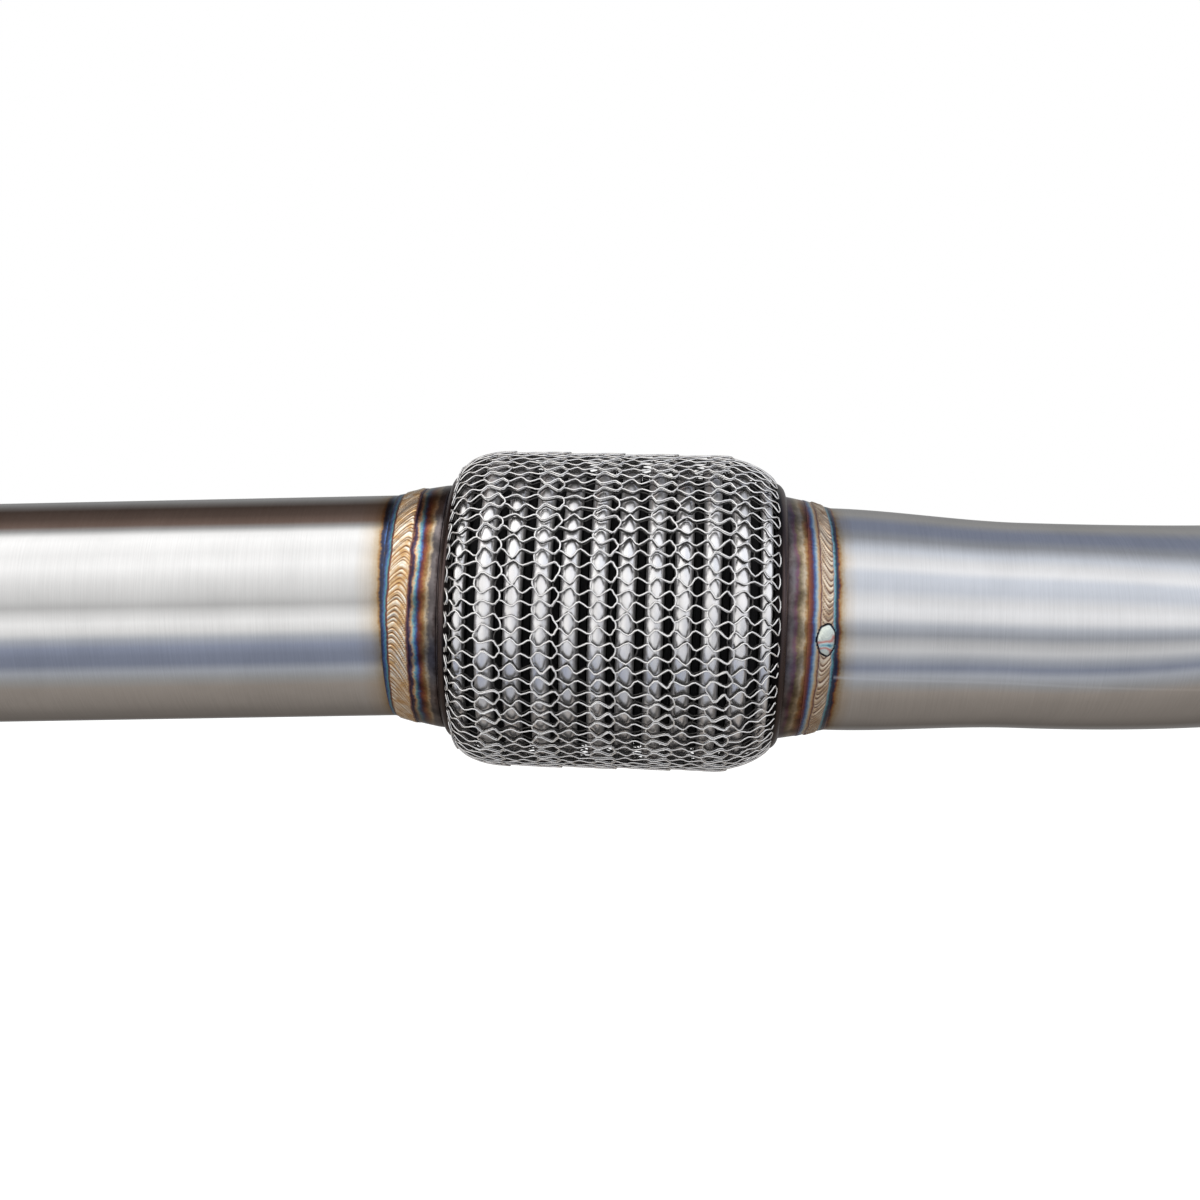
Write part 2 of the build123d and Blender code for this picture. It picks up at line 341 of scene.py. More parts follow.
def heatedSteel(name, look, prefix):
    # brushed steel with heat colours near the bead, found by the station attribute
    material, tree, surface = newMaterial(name)
    marks = useBrushMarks(tree, look["along"], look["around"], look["roughness"], look["variation"])
    heat = useGroup(tree, heatColours[prefix],
                    {"Place": objectPlace(tree), "Station": readAttribute(tree, "station"),
                     "Wander": look["wander"]})
    colour = shaded(tree, heat["Color"], marks["Shade"])
    if "mottle" in look:
        patch = noise(tree, objectPlace(tree), look["mottle"], 4.0)
        colour = shaded(tree, colour, mapRange(tree, patch, 0.35, 0.65, 0.5, 1.3))
    if "seam" in look:
        # the tube's own weld line: a narrow stripe whose place round the tube drifts along it
        seam = look["seam"]
        parts = addNode(tree, "ShaderNodeSeparateXYZ", {0: surfaceUv(tree)}).outputs
        line = maths(tree, "MULTIPLY", parts[0], seam["slope"])
        offset = maths(tree, "SUBTRACT", parts[1], maths(tree, "ADD", line, seam["start"]))
        near = mapRange(tree, maths(tree, "ABSOLUTE", offset), 0.0, seam["width"], 1.0, 0.0)
        colour = mixColour(tree, maths(tree, "MULTIPLY", near, seam["strength"]), colour, seam["colour"])
    normal = bumpNormal(tree, marks["Height"], look["bump"], 0.02 * mm)
    finishSurface(tree, surface, colour, marks["Roughness"], normal)
    return material


# tubes

inletTube = dict(
    length=170.0, insertion=4.5, segments=256, edge=0.25, spacing=6.0,
    look=dict(along=2600.0, around=45.0, roughness=0.09, variation=0.07, wander=0.9, bump=0.25))


def makeInletTube():
    outer, wall = flex["tubeRadius"], flex["tubeWall"]
    end = inletTube["length"] + inletTube["insertion"]
    corners = [(0, outer), (end, outer), (end, outer - wall), (0, outer - wall)]
    outline = spread(roundedLine(corners, inletTube["edge"]), inletTube["spacing"])
    # places run from the open end, and the flexible section's middle lies this far down the tube
    middle = inletTube["length"] + flex["mouth"]
    made = turnedPiece("inletTube", outline, straightRun(np.zeros(3), alongX, upZ),
                       heatedSteel("inletTubeSteel", inletTube["look"], "inlet"), inletTube["segments"],
                       station=lambda s, a: middle - s)
    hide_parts("inlet_pipe")
    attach(made, inletBody)


outletTube = dict(
    endRadius=29.3, taperStart=62.0, taperEnd=116.0, bendRadius=150.0, bendAngle=30.0,
    bendLift=8.0, tail=40.0, segments=192, rows=72, edge=0.25,
    look=dict(along=2600.0, around=45.0, roughness=0.10, variation=0.09, wander=1.1, bump=0.25,
              seam=dict(start=-0.0065, slope=-0.03, width=0.0007, strength=0.35,
                        colour=(0.85, 0.85, 0.86, 1))))


def leaningStation(lean):
    # the outlet weld was run further out at the front than at the back:
    # |station| + lean * (1 - cos(angle)), which is the plain station at the front
    return lambda s, a: np.abs(s) + lean * (1 - np.cos(a))


def outletRun(station):
    # straight to the bend, then a circular arc of the bend radius, then straight along its end
    size = outletTube
    lift = np.radians(size["bendLift"])
    inward = -toViewer * np.cos(lift) + flexUp * np.sin(lift)
    side = np.cross(flexAlong, inward)
    radius, start = size["bendRadius"] * mm, size["taperEnd"] * mm
    turn = np.clip((station - start) / radius, 0, np.radians(size["bendAngle"]))
    tail = np.maximum(station - start - radius * np.radians(size["bendAngle"]), 0)
    along = np.cos(turn)[:, None] * flexAlong + np.sin(turn)[:, None] * inward
    turned = np.cos(turn)[:, None] * inward - np.sin(turn)[:, None] * flexAlong
    centre = (flexCentre + np.minimum(station, start)[:, None] * flexAlong
              + radius * (np.sin(turn)[:, None] * flexAlong + (1 - np.cos(turn))[:, None] * inward)
              + tail[:, None] * along)
    # the two directions across start as toViewer and up, turned down at the front by twice the lift;
    # the seam's place is measured from there
    front = -turned * np.cos(lift) - side * np.sin(lift)
    return centre, front, np.cross(front, along)


def outletOuterRadius(station):
    # smooth step from the tube's radius down to the end radius
    size = outletTube
    t = np.clip((station - size["taperStart"]) / (size["taperEnd"] - size["taperStart"]), 0, 1)
    return flex["tubeRadius"] + (size["endRadius"] - flex["tubeRadius"]) * t * t * (3 - 2 * t)


def makeOutletTube():
    size, wall = outletTube, flex["tubeWall"]
    end = size["taperEnd"] + size["bendRadius"] * np.radians(size["bendAngle"]) + size["tail"]
    station = np.linspace(flex["tubeEnd"], end, size["rows"])
    outer = np.stack([station, outletOuterRadius(station)], -1)
    inner = np.stack([station[::-1], outletOuterRadius(station[::-1]) - wall], -1)
    outline = roundedLine(np.vstack([outer, inner]), size["edge"], 1)
    made = turnedPiece("outletTube", outline, outletRun,
                       heatedSteel("outletTubeSteel", size["look"], "outlet"), size["segments"],
                       station=leaningStation(bead["outlet"]["lean"]))
    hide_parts("outlet_pipe", "outlet_bend")
    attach(made, outletBody)


# collars, caps and inner sleeves, made once for each side

# The cover, bellows and caps sit a little nearer to the outlet than the two collars do
flexRun = straightRun(flexCentre, flexAlong, flexUp)
coverCentre = flexCentre + flex["coverShift"] * mm * flexAlong + flex["coverLift"] * mm * flexUp
coverRun = straightRun(coverCentre, flexAlong, flexUp)

collar = dict(segments=256, edge=0.15, spacing=0.8, shoulderWidth=0.9, neckEnd=(1.2, -0.15),
              look=dict(along=1500.0, around=60.0, roughness=0.14, variation=0.14, wander=1.4, bump=0.35,
                        mottle=230.0))
# the caps' colours go by station too; the near-black at the lip, under the cover's edge, is painted shade
endCap = dict(lipRadius=38.4, wall=0.9, seat=0.1, segments=256, roughness=0.24,
              colours=[(43.2, (0.008, 0.007, 0.007)), (45.0, (0.010, 0.008, 0.008)),
                       (45.6, (0.09, 0.065, 0.06)), (46.3, (0.13, 0.10, 0.10)), (47.1, (0.20, 0.17, 0.17))])
innerSleeve = dict(outer=30.7, wall=0.8, near=41.5, far=50.5, segments=128, colour=(0.42, 0.41, 0.40, 1.0))


def onSide(side, outline):
    return np.asarray(outline, float) * (side, 1)


def makeCollar(prefix, side, body):
    f, size = flex, collar
    shoulder, radius = f["collarShoulder"], f["collarShoulderRadius"]
    step = shoulder - size["shoulderWidth"]
    corners = [(f["mouth"], f["collarBore"]), (f["mouth"], f["collarBevel"]),
               (f["weldInner"], f["collarNeck"]),
               (shoulder + size["neckEnd"][0], radius + size["neckEnd"][1]),
               (shoulder, radius), (step, radius), (step, f["collarTail"]),
               (f["collarInner"], f["collarTail"]), (f["collarInner"], f["collarBore"])]
    outline = spread(roundedLine(onSide(side, corners), size["edge"]), size["spacing"])
    made = turnedPiece(prefix + "Collar", outline, flexRun,
                       heatedSteel(prefix + "CollarSteel", size["look"], prefix), size["segments"],
                       station=leaningStation(bead[prefix]["lean"]))
    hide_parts(prefix + "_collar")
    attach(made, body)


def makeEndCap(prefix, side, body, material):
    # outside: a quarter-round from the lip to the collar; inside: a straight cone
    f, size = flex, endCap
    seat = f["collarShoulderRadius"] + size["seat"]
    turn = np.linspace(np.pi / 2, 0, 13)
    reach, drop = f["collarShoulder"] - f["capLip"], size["lipRadius"] - seat
    curve = np.stack([f["capLip"] + reach * np.cos(turn), seat + drop * np.sin(turn)], -1)
    inside = [(f["collarShoulder"] - size["wall"], seat), (f["capLip"], size["lipRadius"] - size["wall"])]
    outline = roundedLine(onSide(side, np.vstack([curve, inside])), 0.2, 2)
    made = turnedPiece(prefix + "EndCap", outline, coverRun, material, size["segments"],
                       station=lambda s, a: np.abs(s))
    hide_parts(prefix + "_end_cap")
    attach(made, body)


def makeInnerSleeve(prefix, side, body, material):
    size = innerSleeve
    near, far, outer, bore = size["near"], size["far"], size["outer"], size["outer"] - size["wall"]
    outline = roundedLine(onSide(side, [(near, outer), (far, outer), (far, bore), (near, bore)]), 0.15)
    made = turnedPiece(prefix + "InnerSleeve", outline, flexRun, material, size["segments"])
    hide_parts(prefix + "_inner_sleeve")
    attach(made, body)


def capSteelLipShade():
    # painted shade: black under the cover's edge, paler towards the collar
    material, tree, surface = newMaterial("capLipShadeSteel")
    marks = useBrushMarks(tree, 900.0, 120.0, endCap["roughness"], 0.2)
    low, high = endCap["colours"][0][0], endCap["colours"][-1][0]
    colour = rampBetween(tree, readAttribute(tree, "station"), low, high, endCap["colours"])
    normal = bumpNormal(tree, marks["Height"], 0.3, 0.03 * mm)
    finishSurface(tree, surface, shaded(tree, colour, marks["Shade"]), marks["Roughness"], normal)
    return material


# weld beads

bead = dict(
    samplesPerRipple=14, acrossSteps=26, hollow=1.25, toeReach=0.2, toeLift=0.12, toePower=0.35,
    neckLift=0.15, neckDepth=0.3, tubeDepth=0.6, rippleHeight=0.34, shiftSpread=0.22, heightSpread=0.38,
    sweepPower=1.45, sawPeak=0.8, sawPower=0.8, edgeFade=0.12, edgeShare=0.3, edgeBlend=0.25,
    stopAngle=-9.5, stopStation=59.0, stopWidth=5.2, stopLength=9.4, stopHeight=1.0, stopPower=0.45,
    stopRim=0.14, rimDepth=0.3, roughness=0.17, variation=0.16, metallic=0.82,
    # by side: the rippled band's outer and inner edge; which way the chevrons point; where across
    # the band their tip lies at the front, and how far it moves to the inner toe at the top
    # in each: crest is a painted highlight on the ripples' ridges, and line is the fine lines' colour and
    # the painted shade in the ripple valleys
    inlet=dict(outer=59.7, inner=54.4, ripples=136, chevron=4.2, tip=0.42, tipMove=0.7, lean=0.0,
               crest=(1.0, 0.94, 0.80, 1), body=(0.74, 0.47, 0.22, 1), line=(0.17, 0.05, 0.015, 1)),
    outlet=dict(outer=60.8, inner=57.6, ripples=112, chevron=-2.8, tip=0.45, tipMove=-0.6, lean=1.6,
                crest=(0.90, 0.77, 0.60, 1), body=(0.52, 0.37, 0.24, 1), line=(0.11, 0.04, 0.035, 1)))


# The rippled band's metal. The phase attribute counts ripples along the bead, swept into chevrons; noise
# along it alone draws fine lines that follow the chevrons. The ripples' ridges get a painted highlight and
# their valleys painted shade.
def beadMetal(tree, band, place):
    phase, ripple = readAttribute(tree, "phase"), readAttribute(tree, "ripple")
    fine = addNode(tree, "ShaderNodeTexNoise", {"W": phase, "Scale": 2.3, "Detail": 3.0, "Roughness": 0.7},
                   noise_dimensions="1D").outputs["Fac"]
    blotch = noise(tree, place, 330.0, 3.0)
    lines = ramp(tree, fine, [(0.40, 1), (0.50, 0)])
    patch = ramp(tree, blotch, [(0.36, 0), (0.60, 1)])
    # painted highlight: the crest colour on the ripples' ridges
    ridgeHighlight = ramp(tree, ripple, [(0.30, 0), (0.75, 1)])
    metal = mixColour(tree, maths(tree, "MULTIPLY", ridgeHighlight, patch), band["body"], band["crest"])
    metal = mixColour(tree, maths(tree, "MULTIPLY", lines, 0.4), metal, band["line"])
    # painted shade: the line colour in the ripple valleys
    valleyShade = ramp(tree, ripple, [(0.0, 1), (0.15, 1), (0.42, 0)])
    metal = mixColour(tree, maths(tree, "MULTIPLY", valleyShade, 0.9), metal, band["line"])
    return metal, fine, blotch


# The raised spot where the last run stopped: a dark rim round a pale pool with a pink streak
def stopMetal(tree, place, stop):
    streak = noise(tree, place, 200.0, 1.5, Distortion=0.8)
    pool = ramp(tree, streak, [
        (0.32, (0.05, 0.22, 0.34)), (0.40, (0.36, 0.58, 0.62)), (0.47, (0.70, 0.76, 0.74)),
        (0.52, (0.60, 0.27, 0.24)), (0.58, (0.62, 0.34, 0.30)), (0.66, (0.66, 0.72, 0.68)),
        (0.8, (0.78, 0.82, 0.72))])
    rim = ramp(tree, stop, [(0.0, 0), (0.16, 0.02), (0.28, 1)])
    return mixColour(tree, rim, (0.02, 0.025, 0.04, 1), pool)


def beadMaterial(name, prefix):
    material, tree, surface = newMaterial(name, bead["metallic"])
    band, place = bead[prefix], objectPlace(tree)
    metal, fine, blotch = beadMetal(tree, band, place)
    heat = useGroup(tree, heatColours[prefix],
                    {"Place": place, "Station": readAttribute(tree, "station"), "Wander": 0.7})
    # inside the band's two edges, by the wandering station
    inside = [mapRange(tree, heat["Shifted"], edge, edge + way * bead["edgeBlend"])
              for edge, way in ((band["inner"], 1), (band["outer"], -1))]
    colour = mixColour(tree, maths(tree, "MULTIPLY", *inside), heat["Color"], metal)
    stop = readAttribute(tree, "stop")
    colour = mixColour(tree, maths(tree, "GREATER_THAN", stop, 0.001), colour, stopMetal(tree, place, stop))
    rough = variedRoughness(tree, blotch, bead["roughness"], bead["variation"])
    bumps = maths(tree, "ADD", fine, maths(tree, "MULTIPLY", blotch, 0.6))
    finishSurface(tree, surface, colour, rough, bumpNormal(tree, bumps, 0.8, 0.12 * mm))
    return material


def makeBead(prefix, side, body):
    # Outline: from the tube's surface up to the collar's neck, a little hollow, as
    # tubeRadius + rise * t ** hollow + toeLift * sin(pi t) ** toePower, closed underneath.
    # In the band the radius gains rippleHeight * saw(phase). Phase counts ripples round the bead
    # and changes on both sides of the chevron's tip by chevron * |t - tip| ** sweepPower.
    f, band = flex, bead[prefix]
    outer, inner = f["weldOuter"] + bead["toeReach"], f["weldInner"] - bead["toeReach"]
    t = np.linspace(0, 1, bead["acrossSteps"])
    rise = f["collarNeck"] + bead["neckLift"] - f["tubeRadius"]
    toes = bead["toeLift"] * np.sin(np.pi * t) ** bead["toePower"]
    top = np.stack([outer + (inner - outer) * t, f["tubeRadius"] + rise * t ** bead["hollow"] + toes], -1)
    floor = f["tubeRadius"] - bead["tubeDepth"]
    under = [(inner, f["collarNeck"] - bead["neckDepth"]), (f["mouth"], floor), (outer, floor)]
    rng = np.random.default_rng(11 if side < 0 else 12)
    columns = band["ripples"] * bead["samplesPerRipple"]
    # each ripple has its own small shift and height, carried smoothly to the next
    shift = rng.normal(0, bead["shiftSpread"], band["ripples"])
    size = np.clip(1 + rng.normal(0, bead["heightSpread"], band["ripples"]), 0.25, 2)

    def rowValue(values, count):
        low = np.floor(count).astype(int)
        part = count - low
        part = part * part * (3 - 2 * part)
        return values[low % len(values)] * (1 - part) + values[(low + 1) % len(values)] * part

    leaning = leaningStation(band["lean"])

    def acrossBand(s, angle):
        return (band["outer"] - leaning(s, angle)) / (band["outer"] - band["inner"])

    def phase(s, angle):
        # sin(angle) is the height round the ring, so the tip moves over the band from top to bottom
        tip = band["tip"] + band["tipMove"] * np.sin(angle)
        across = np.clip(acrossBand(s, angle), -0.3, 1.3)
        swept = band["chevron"] * np.abs(across - tip) ** bead["sweepPower"]
        count = (angle + np.pi) / (2 * np.pi) * band["ripples"] + swept
        return count + rowValue(shift, count)

    def wave(s, angle):
        count = phase(s, angle)
        saw, peak = count - np.floor(count), bead["sawPeak"]
        return np.where(saw < peak, (saw / peak) ** bead["sawPower"], (1 - saw) / (1 - peak))

    def dome(s, angle):
        # 1 in the spot's middle and 0 at its uneven edge
        if side < 0:
            return np.zeros_like(angle)
        x = (np.abs(s) - bead["stopStation"]) / (bead["stopWidth"] / 2)
        y = (angle - np.radians(bead["stopAngle"])) * f["collarNeck"] / (bead["stopLength"] / 2)
        around = np.arctan2(y, x)
        uneven = 1 + 0.07 * np.cos(3 * around + 0.6) + 0.05 * np.cos(7 * around)
        return np.clip(1 - (x * x + y * y) * uneven, 0, 1)

    def height(s, angle):
        onTop = np.zeros_like(angle)
        onTop[:len(top)] = 1
        across = acrossBand(s, angle)
        fade = np.clip(np.minimum(across, 1 - across) / bead["edgeFade"] + bead["edgeShare"], 0, 1)
        ripples = bead["rippleHeight"] * wave(s, angle) * rowValue(size, phase(s, angle)) * fade
        spot = dome(s, angle)
        rim = bead["rimDepth"] * (spot > 0) * (spot < bead["stopRim"])
        return onTop * np.where(spot > 0, bead["stopHeight"] * spot ** bead["stopPower"] - rim, ripples)

    made = turnedPiece(prefix + "Weld", onSide(side, np.vstack([top, under])), flexRun,
                       beadMaterial(prefix + "BeadSteel", prefix), columns, sharp=60, height=height,
                       ripple=wave, phase=phase, stop=dome, station=leaning)
    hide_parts(prefix + "_weld")
    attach(made, body)


# bellows and liner

bellows = dict(
    folds=12, pitch=7.55, crest=43.4, endCrests=(40.5, 39.7), outletNextCrest=42.7, root=35.3, wall=0.4,
    cuff=1.2, crestWidth=5.2, endWidth=3.4, endShift=0.5, floorRise=3.3, roundness=4.0, rootCurve=0.8,
    stepsPerCrest=14, gapPlace=(-0.7, -0.35, 0.0, 0.35, 0.7), segments=160,
    # the dark colour is painted shade in the gaps between the folds
    colour=(0.93, 0.91, 0.90, 1.0), dark=(0.012, 0.012, 0.013, 1.0), deepRoughness=0.9, metallic=0.93)


def bellowsOutline():
    # Each fold is a superellipse on a low base: radius = root + rootCurve + (depth - rootCurve) *
    # (1 - |2 x / width| ** n) ** (1 / n), where x is the distance from the fold's middle and n the
    # roundness. Between the folds the floor is root + floorRise + rootCurve * |2 x / gap| ** 3.
    size = bellows
    folds, steps, gapPlace = size["folds"], size["stepsPerCrest"], np.array(size["gapPlace"])
    middles = (np.arange(folds) - (folds - 1) / 2) * size["pitch"]
    middles[[0, -1]] += np.array([1, -1]) * size["endShift"]
    width = np.full((folds, 1), size["crestWidth"])
    width[[0, -1]] = size["endWidth"]
    depth = np.full((folds, 1), size["crest"] - size["root"])
    depth[[0, -1], 0] = np.array(size["endCrests"]) - size["root"]
    depth[-2] = size["outletNextCrest"] - size["root"]
    turn = np.linspace(np.pi, 0, steps)
    reach = np.sign(np.cos(turn)) * np.abs(np.cos(turn)) ** (2 / size["roundness"])
    rise = np.maximum(1 - np.abs(reach) ** size["roundness"], 0) ** (1 / size["roundness"])
    crests = np.stack([middles[:, None] + width / 2 * reach,
                       size["root"] + size["rootCurve"] + (depth - size["rootCurve"]) * rise], -1)
    gap = size["pitch"] - size["crestWidth"]
    between = middles[:-1] + np.diff(middles) / 2
    floor = size["root"] + size["floorRise"] + size["rootCurve"] * np.abs(gapPlace) ** 3
    floors = np.stack([np.append(between, 0)[:, None] + gap / 2 * gapPlace,
                       np.tile(floor, (folds, 1))], -1)
    line = np.concatenate([crests, floors], 1).reshape(-1, 2)[:-len(gapPlace)]
    cuffEnd = middles[-1] + size["endWidth"] / 2 + size["cuff"]
    outer = np.vstack([[(-cuffEnd, size["root"])], line, [(cuffEnd, size["root"])]])
    # the inner face is the outer one moved down its own normal by the wall
    slope = np.gradient(outer, axis=0)
    normal = np.stack([-slope[:, 1], slope[:, 0]], -1)
    normal /= np.linalg.norm(normal, axis=1, keepdims=True)
    inner = outer - normal * size["wall"]
    inner[[0, -1]] = outer[[0, -1]] - (0, size["wall"])
    outline = np.vstack([outer, inner[::-1]])
    # how far up its own fold each point lies
    full = np.concatenate([np.repeat(depth, steps, axis=1),
                           np.full((folds, len(gapPlace)), size["crest"] - size["root"])], 1)
    full = np.pad(full.reshape(-1)[:-len(gapPlace)], 1, mode="edge")
    return outline, (outline[:, 1] - size["root"]) / np.concatenate([full, full[::-1]])


def bellowsSteelShadedGaps():
    # bright at the crests; in the gaps painted shade makes it dark, and it is rough there
    size = bellows
    material, tree, surface = newMaterial("bellowsSteelShadedGaps", size["metallic"])
    marks = useBrushMarks(tree, 3200.0, 60.0, 0.3, 0.25)
    # the ramp by depth paints the shade: the dark colour low in the folds, the steel's colour at the crests
    height = ramp(tree, readAttribute(tree, "depth"), [(0.0, 0), (0.56, 0.03), (0.8, 0.6), (0.97, 1)])
    colour = mixColour(tree, height, size["dark"], shaded(tree, size["colour"], marks["Shade"]))
    deep = maths(tree, "MULTIPLY", maths(tree, "SUBTRACT", 1.0, height), size["deepRoughness"])
    rough = maths(tree, "ADD", maths(tree, "MULTIPLY", marks["Roughness"], height), deep)
    finishSurface(tree, surface, colour, rough, bumpNormal(tree, marks["Height"], 0.3, 0.04 * mm))
    return material


def makeBellows():
    outline, share = bellowsOutline()
    made = turnedPiece("bellowsFolds", outline, coverRun, bellowsSteelShadedGaps(), bellows["segments"], sharp=60,
                       depth=lambda s, a: np.broadcast_to(share[:, None], s.shape))
    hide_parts("bellows")
    return made


liner = dict(ridges=11, pitch=7.0, radius=33.3, step=0.9, wall=0.8, cuffRadius=31.8, cuffStation=46.0,
             segments=128)


def makeLiner(material):
    # overlapping steps: each ridge slopes down by one step over its pitch and then jumps back
    size, end, cuff = liner, liner["cuffStation"], liner["cuffRadius"]
    half = size["ridges"] / 2 * size["pitch"]
    starts = np.arange(size["ridges"]) * size["pitch"] - half
    high = np.full_like(starts, size["radius"])
    steps = np.stack([starts, high, starts + size["pitch"], high - size["step"]], -1).reshape(-1, 2)
    bore = cuff - size["wall"]
    corners = np.vstack([[(-end, cuff), (-half, cuff)], steps,
                         [(half, cuff), (end, cuff), (end, bore), (-end, bore)]])
    made = turnedPiece("interlockLiner", roundedLine(corners, 0.12, 1), flexRun, material, size["segments"])
    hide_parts("interlock_liner")
    return made


def innerSteel():
    material, tree, surface = newMaterial("innerSteel")
    marks = useBrushMarks(tree, 900.0, 80.0, 0.35, 0.2)
    finishSurface(tree, surface, shaded(tree, innerSleeve["colour"], marks["Shade"]), marks["Roughness"])
    return material


# knitted cover

# All lengths in millimetres, but loopLength, layerShift, firstLoop, lastLoop and edgeTurn in courses
knit = dict(
    wales=40, course=15.45, loopLength=1.43, wave=0.74, wire=0.25, innerWire=0.21, layerShift=0.351,
    firstHead=1.3, firstLoop=0.1, lastLoop=0.5, edgeTurn=0.13, edgeBulge=3.0, stack=0.25, innerDrop=1.0,
    samplesPerWave=3, linkSteps=2, linkBulge=0.22, sides=5,
    # share of a course at which the wire lines of both layers lean towards the heads' side (in
    # turn the 1st, 3rd and 5th) and away from it, and how far they lean there
    leanPlace=(0.0, 0.203, 0.347, 0.56, 0.69, 0.915, 1.0),
    leanSize=(1.0, -1.5, 1.0, -1.0, 1.5, -1.0),
    radius=44.9, straight=(28.0, 30.0), endStation=44.6, endRadius=37.6, bulge=(2.3, 1.45), tuck=(0.5, 0.7),
    riseDegrees=0.5, leanJitter=0.3, alongJitter=0.27, wireJitter=0.08, swayEvery=8,
    # the inner layer's wire colour is darkened as painted shade under the outer layer, and shadeColour is
    # the painted shade on the wires' flanks
    colour=(0.97, 0.95, 0.93, 1.0), innerShadeColour=(0.08, 0.076, 0.073, 1.0),
    shadeColour=(0.02, 0.019, 0.018, 1.0), roughness=0.22, variation=0.16, metallic=0.75)

# The cover sits a little askew on its bellows, with its outlet end higher
rise = np.radians(knit["riseDegrees"])
coverAlong = np.cos(rise) * flexAlong + np.sin(rise) * flexUp
coverUp = np.cos(rise) * flexUp - np.sin(rise) * flexAlong


def coverProfile(straight, bulge):
    # one side's line by length from the middle: straight, then a quarter of a superellipse down to
    # the edge, |x / a| ** bulge + |y / b| ** bulge = 1, then a short tuck inwards under the edge
    size, end, edge = knit, knit["endStation"], knit["endRadius"]
    turn = np.linspace(0, np.pi / 2, 40)
    shoulder = np.stack([
        straight + (end - straight) * np.sin(turn) ** (2 / bulge),
        edge + (size["radius"] - edge) * np.maximum(np.cos(turn), 0) ** (2 / bulge)], -1)
    line = np.vstack([[(0.0, size["radius"])], shoulder, [(end - size["tuck"][0], edge - size["tuck"][1])]])
    length = np.concatenate([[0], np.cumsum(np.hypot(*np.diff(line, axis=0).T))])
    return length, line


def onCover(along, turn, lift):
    # along is the length from the middle over the barrel, turn the angle, lift the height above it
    values = []
    for side, straight, bulge in zip((-1, 1), knit["straight"], knit["bulge"]):
        length, line = coverProfile(straight, bulge)
        reach = np.minimum(np.abs(along), length[-1])
        slope = np.gradient(line, length, axis=0)
        station, radius, slopeX, slopeR = (np.interp(reach, length, k) for k in (*line.T, *slope.T))
        values.append(np.stack([station * side, radius, -slopeR * side, slopeX]))
    station, radius, outX, outR = np.where(along < 0, *values)
    size = np.hypot(outX, outR)
    station = station + lift * outX / size
    radius = radius + lift * outR / size
    across = np.cos(turn)[..., None] * toViewer + np.sin(turn)[..., None] * coverUp
    points = coverCentre + station[..., None] * mm * coverAlong + radius[..., None] * mm * across
    normal = (outX / size)[..., None] * coverAlong + (outR / size)[..., None] * across
    return points, normal


def netPlace(place):
    # length along the cover, in courses from the first head, to a count of leans (six a course)
    whole = np.floor(place)
    return 6 * whole + np.interp(place - whole, knit["leanPlace"], np.arange(7))


def netLength(count):
    whole = np.floor(count / 6)
    return whole + np.interp(count - 6 * whole, np.arange(7), knit["leanPlace"])


# Both layers' wires lie along the same wavy lines, two lines to a wale: shared random leans
leanRows, leanMiddle = 90, 42
leanRandom = np.random.default_rng(5).normal(0, 1, (2, leanRows, 2 * knit["wales"]))


def sharedRandom(kind, row, line):
    return leanRandom[kind, (row + leanMiddle) % leanRows, line % (2 * knit["wales"])]


def eased(count):
    # the whole number below a count, and how far on it is, eased by half a cosine
    low = np.floor(count).astype(int)
    return low, (1 - np.cos(np.pi * (count - low))) / 2


def lineTurn(line, place):
    # angle of a line = its wale's middle -+ (quarter of a wale - wave * lean / radius)
    size = knit
    wale, side = line // 2, 2.0 * (line % 2) - 1
    sizes = np.array(size["leanSize"])
    low, part = eased(netPlace(place))

    def lean(k):
        return sizes[k % 6] * (1 + size["leanJitter"] * sharedRandom(0, k, line))

    value = lean(low) * (1 - part) + lean(low + 1) * part
    quarter = np.pi / 2 / size["wales"]
    return (wale + 0.5) * 4 * quarter - np.pi + side * (quarter - size["wave"] * value / size["radius"])


def lineDrift(line, place):
    # a slow random shift along the cover, shared by all wires of a line
    low, part = eased(place * 3)
    a, b = sharedRandom(1, low, line), sharedRandom(1, low + 1, line)
    return knit["alongJitter"] * (a * (1 - part) + b * part)


